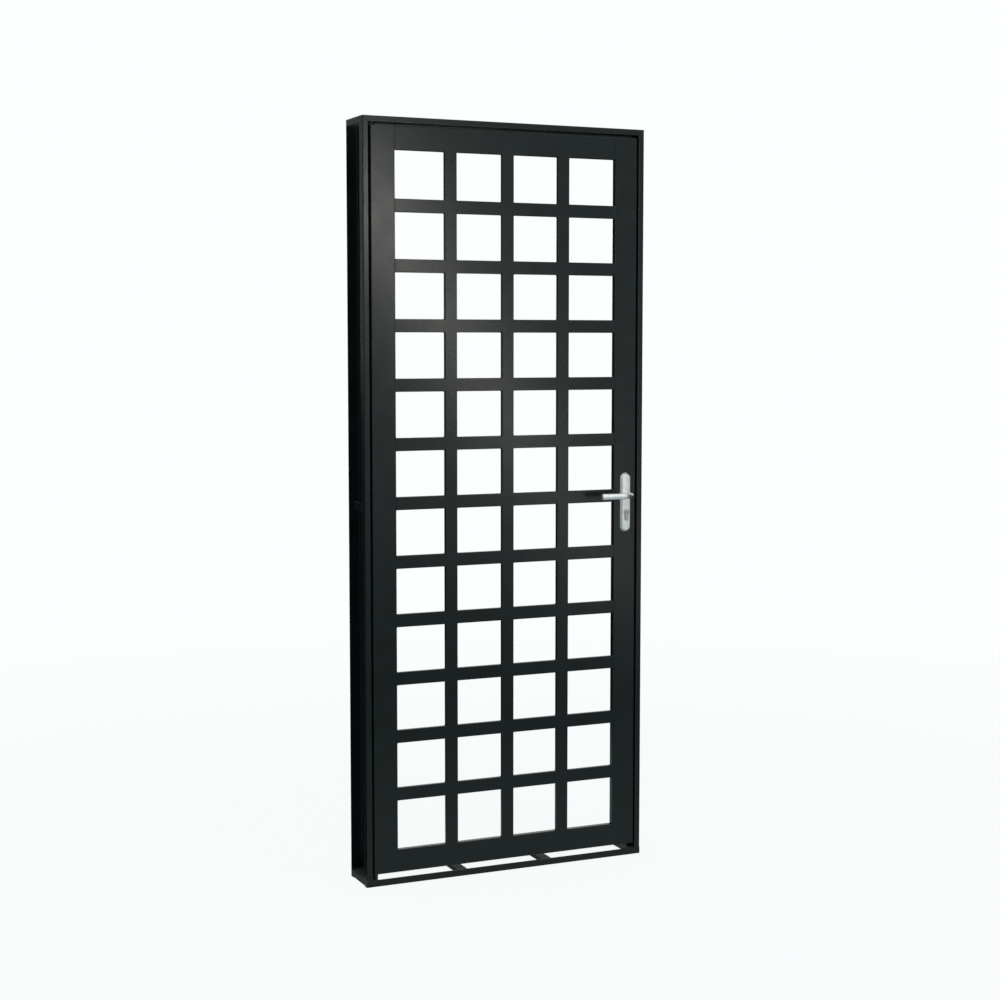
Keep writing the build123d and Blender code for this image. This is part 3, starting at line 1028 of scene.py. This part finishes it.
@dataclass(frozen=True)
class LockEdge(Assembly):
    """What shows on the edge of the leaf and in the jamb: faceplate, bolts, strike and pivots."""

    zinc: Material
    steel: Material
    plastic: Material
    screw: SlottedDisc = SlottedDisc(3.0 * MM, 0.15 * MM, 0.25 * MM, 0.4 * MM, 3.0 * MM, 0.4 * MM)
    screw_sunk: float = 0.12 * MM
    screw_inset: float = 9 * MM
    turns: tuple[float, float] = (0.5, 2.0)
    cut_off: float = 0.75
    box_depth: float = 11 * MM
    box_wall: float = MM
    side_room: float = 0.3 * MM
    end_room: float = 3 * MM

    def build(self) -> None:
        """Dresses the hardware and adds the screws of the faceplate and the strike."""
        # The faceplate, case and strike take a dark finish that is partly painted shade for the gap they sit
        # in.
        self.dress(self.zinc, Slot.ZINC, "lock_faceplate", "lock_case", "strike_plate")
        # The bolts, bushes, pins and screws take near-black steel, partly painted shade for the gaps they
        # sit in.
        self.dress(self.steel, Slot.ZINC, "latch_bolt", "dead_bolt", "pivot_bush_top",
                   "pivot_bush_bottom", "pivot_pin_top", "pivot_pin_bottom")
        for node, way, body in (("lock_faceplate", X_AXIS, Body.LEAF),
                                ("strike_plate", -X_AXIS, Body.FRAME)):
            screws = end_screws(node, way, self.screw, self.screw_sunk, self.screw_inset, self.turns)
            screws.place(f"{node}_screws", self.steel, body, Slot.ZINC)
        self._dust_boxes().place("strike_dust_boxes", self.plastic, Body.FRAME, Slot.PAINT)

    def _dust_boxes(self) -> MeshDraft:
        """Makes the boxes behind the strike, which the bolts shoot into.

        Each is a ring of eight corners, the cut-off corners of a rectangle, carried from the middle
        of the back outside, forward to the open rim, and back inside to the middle again.

        Returns:
            The grids of the boxes.
        """
        low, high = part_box("strike_plate")
        quarter = np.array([[1, self.cut_off], [self.cut_off, 1]])
        half_ring = np.concatenate([quarter, quarter[::-1] * [-1, 1]])
        cut = np.concatenate([half_ring, -half_ring])
        inside = self.box_depth - self.box_wall
        steps = np.array([self.box_depth, self.box_depth, 0, 0, inside, inside])[:, None]
        draft = MeshDraft()
        for node in ("latch_bolt", "dead_bolt"):
            bolt_low, bolt_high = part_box(node)
            half = np.array([(high.y - low.y) / 2 - self.side_room,
                             (bolt_high.z - bolt_low.z) / 2 + self.end_room])
            outer, inner = cut * half, cut * (half - self.box_wall)
            rings = np.stack([outer * 0, outer, outer, inner, inner, inner * 0])
            places = rings + [(low.y + high.y) / 2, (bolt_low.z + bolt_high.z) / 2]
            draft.add(spread(high.x + steps, places[..., 0], places[..., 1]))
        return draft


@dataclass(frozen=True)
class Lamp:
    """A soft rectangular lamp that faces a point."""

    name: str
    place: tuple[float, float, float]
    target: tuple[float, float, float]
    size: tuple[float, float]
    power: float
    colour: str = "#ffffff"
    roll: float = 0.0

    def build(self) -> None:
        """Builds the lamp."""
        data = bpy.data.lights.new(self.name, "AREA")
        data.shape = "RECTANGLE"
        data.size, data.size_y = self.size
        data.energy = self.power
        data.color = linear(self.colour)[:3]
        lamp = bpy.data.objects.new(self.name, data)
        bpy.context.scene.collection.objects.link(lamp)
        aim = (Vector(self.target) - Vector(self.place)).to_track_quat("-Z", "Y")
        lamp.location = self.place
        lamp.rotation_euler = (aim @ Quaternion((0.0, 0.0, 1.0), self.roll)).to_euler()


@dataclass(frozen=True)
class Studio:
    """A pale floor, a white background, soft lamps and the camera of the photograph."""

    background: str = "#fcffff"
    room: str = "#d8eaea"
    flag: str = "#1c1e1f"
    floor_colour: str = "#c4c8c8"
    mat: str = "#98acac"
    room_edge: Edges = (("Y", -0.15, -0.60),)
    right_flag: Edges = (("X", 0.57, 0.70), ("Y", 0.35, 0.10))
    left_flag: Edges = (("X", -0.22, -0.34), ("Y", 0.15, 0.40))
    # Painted light on the floor for gloss: a pool of light at the foot, a wall's reflection on the right,
    # and the flags' dark reflections.
    painted_light_pool_reach: tuple[float, float] = (2.2, 0.6)
    painted_light_pool_share: float = 0.75
    painted_wall_reflection_base: tuple[float, float] = (1.9, 2.5)
    painted_flag_reflection_slant: tuple[float, float, float] = (1.0, 0.7, 0.0)
    painted_flag_reflection_foot: tuple[float, float] = (1.00, 1.35)
    painted_flag_corner_side: tuple[float, float] = (-0.38, -0.48)
    painted_flag_corner_back: tuple[float, float] = (-0.08, 0.08)
    sky: float = 0.70
    shade_share: float = 0.93
    shade_reach: tuple[float, float] = (1.2, 5.0)
    floor_half: float = 60.0
    camera_place: tuple[float, float, float] = (-2.13788, -4.73708, 1.52909)
    camera_turn: tuple[float, float] = (85.090, -24.082)
    lens: float = 65.43

    def build(self) -> None:
        """Builds the world, the floor, the lamps and the camera."""
        bpy.context.scene.view_settings.view_transform = "Standard"
        self._world()
        self._floor()
        for lamp in self.lamps():
            lamp.build()
        self._camera()

    def lamps(self) -> tuple[Lamp, ...]:
        """Gives the lamps: two softboxes above, and a slanting strip that fades along the sheen.

        Returns:
            The lamps.
        """
        slant = math.radians(37)
        warm = "#fefaf1"
        return (
            Lamp("front_top", (0.3, -2.6, 4.4), (0.0, 0.0, 1.0), (4.4, 2.6), 42.0),
            Lamp("left_top", (-3.0, -2.6, 3.6), (0.0, 0.0, 1.0), (1.4, 1.4), 12.0),
            Lamp("sheen_top", (0.98, -4.0, 2.50), (-0.40, 0.0, 1.95), (0.13, 0.40), 1.5, warm, slant / 2),
            Lamp("sheen_head", (1.06, -4.0, 2.17), (-0.37, 0.0, 1.84), (0.13, 0.56), 5.6, warm, slant),
            Lamp("sheen_middle", (1.42, -4.0, 1.67), (-0.10, 0.0, 1.45), (0.12, 0.56), 3.5, warm, slant),
            Lamp("sheen_tail", (1.78, -4.0, 1.15), (0.15, 0.0, 1.10), (0.12, 0.62), 2.5, warm, slant),
            Lamp("sheen_end", (2.25, -4.0, 0.55), (0.30, 0.0, 0.95), (0.12, 0.80), 1.2, warm, slant),
        )

    def _world(self) -> None:
        """Builds the sky: plain light for the object, and white where the background shows.

        A studio has its pale room in front of the object, and dark flags on the right and on the
        left, and polished parts show them. -Y is the front here and +X the right.
        """
        world = bpy.data.worlds.new("studio")
        bpy.context.scene.world = world
        world.use_nodes = True
        tree = world.node_tree
        tree.nodes.clear()
        light = add_node(tree, "Background", {"Color": linear("#ffffff"), "Strength": self.sky})
        direction = add_node(tree, "TexCoord").outputs["Generated"]
        way = add_node(tree, "SeparateXYZ", None, {0: direction}).outputs
        rays = add_node(tree, "LightPath").outputs
        layers = []
        for code, ranges in ((self.room, self.room_edge), (self.flag, self.right_flag),
                             (self.flag, self.left_flag)):
            share = rays["Is Glossy Ray"]
            for axis, start, end in ranges:
                part = add_node(tree, "MapRange", {"From Min": start, "From Max": end},
                                {"Value": way[axis]})
                share = add_node(tree, "Math", {"operation": "MULTIPLY"}, {0: share, 1: part})
            layers.append((share, code))
        colour = layer_colours(tree, self.background, layers)
        white = add_node(tree, "Background", {"Strength": 1.0}, {"Color": colour})
        shown = add_node(tree, "Math", {"operation": "MAXIMUM"},
                         {0: rays["Is Camera Ray"], 1: rays["Is Glossy Ray"]})
        shown = add_node(tree, "Math", {"operation": "MAXIMUM"}, {0: shown, 1: rays["Is Transmission Ray"]})
        mix = add_node(tree, "MixShader", None, {0: shown, 1: light, 2: white})
        add_node(tree, "OutputWorld", None, {"Surface": mix})

    def _floor(self) -> None:
        """Builds the floor, whose white for the camera still takes the object's shadow.

        For gloss the floor glows with painted reflections rather than its lit colour: a painted pool of
        light at the object's foot, a greyer mat round it, a painted reflection of a pale wall that starts
        on the right, and painted dark reflections of the two dark flags on the ground they stand on.
        """
        material, tree = new_material("studio_floor")
        coordinates = add_node(tree, "TexCoord").outputs["Object"]
        place = add_node(tree, "SeparateXYZ", None, {0: coordinates}).outputs
        distance = add_node(tree, "VectorMath", {"operation": "LENGTH"}, {0: coordinates}).outputs["Value"]
        slant = add_node(tree, "VectorMath", {"operation": "DOT_PRODUCT", 1: self.painted_flag_reflection_slant},
                         {0: coordinates}).outputs["Value"]
        rays = add_node(tree, "LightPath").outputs
        share, wall, painted_light_pool, right, left, behind = (
            add_node(tree, "MapRange",
                     {"From Min": start, "From Max": end, "To Min": least, "To Max": most},
                     {"Value": source})
            for source, (start, end), (least, most) in (
                (distance, self.shade_reach, (self.shade_share, 1.0)),
                (place["X"], self.painted_wall_reflection_base, (0.0, 1.0)),
                (distance, self.painted_light_pool_reach, (0.0, self.painted_light_pool_share)),
                (slant, self.painted_flag_reflection_foot, (0.0, 1.0)),
                (place["X"], self.painted_flag_corner_side, (0.0, 1.0)),
                (place["Y"], self.painted_flag_corner_back, (0.0, 1.0))))
        seen = add_node(tree, "Math", {"operation": "MULTIPLY"}, {0: share, 1: rays["Is Camera Ray"]})
        pale = add_node(tree, "Math", {"operation": "MAXIMUM"}, {0: wall, 1: painted_light_pool})
        corner = add_node(tree, "Math", {"operation": "MULTIPLY"}, {0: left, 1: behind})
        dark = add_node(tree, "Math", {"operation": "MAXIMUM"}, {0: right, 1: corner})
        # Painted reflections, emitted for gloss: pale for the lit pool at the foot and the wall, dark for
        # the flags' feet.
        ground = layer_colours(tree, self.mat, [(pale, self.room), (dark, self.flag)])
        painted_reflection_glow = add_node(tree, "Emission", {"Strength": 1.0}, {"Color": ground})
        diffuse = add_node(tree, "BsdfDiffuse", {"Color": linear(self.floor_colour)})
        plain = add_node(tree, "MixShader", None, {0: rays["Is Glossy Ray"], 1: diffuse, 2: painted_reflection_glow})
        white = add_node(tree, "Emission", {"Color": linear(self.background), "Strength": 1.0})
        mix = add_node(tree, "MixShader", None, {0: seen, 1: plain, 2: white})
        add_node(tree, "OutputMaterial", None, {"Surface": mix})
        reach = np.array([-self.floor_half, self.floor_half])
        grid = spread(reach[:, None], reach, 0.0)
        MeshDraft().add(grid, ring=False).build("floor", material)

    def _camera(self) -> None:
        """Builds the camera where the photograph's straight edges put it."""
        data = bpy.data.cameras.new("camera")
        data.lens = self.lens
        data.sensor_width = 36.0
        data.clip_end = 200.0
        camera = bpy.data.objects.new("camera", data)
        camera.location = self.camera_place
        tilt, turn = self.camera_turn
        camera.rotation_euler = (math.radians(tilt), 0.0, math.radians(turn))
        bpy.context.scene.collection.objects.link(camera)
        bpy.context.scene.camera = camera


def main() -> None:
    """Builds the door's sub-assemblies in order, then the studio round them."""
    logging.basicConfig(level=logging.INFO, format="%(message)s")
    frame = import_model()
    model = frame["nodes"]
    paint = SatinEnamel().build()
    DoorFrame(model, paint, trodden_enamel().build(), painted_light_enamel().build()).build()
    Leaf(model, paint).build()
    Handles(model, satin_anodised_aluminium().build(), satin_lever_aluminium().build(),
            nickel_plated_brass().build(), bright_screw_steel().build()).build()
    LockEdge(model, black_zinc_and_shade_steel().build(), turned_steel().build(),
             black_moulded_plastic().build()).build()
    Studio().build()


if __name__ == "__main__":
    main()
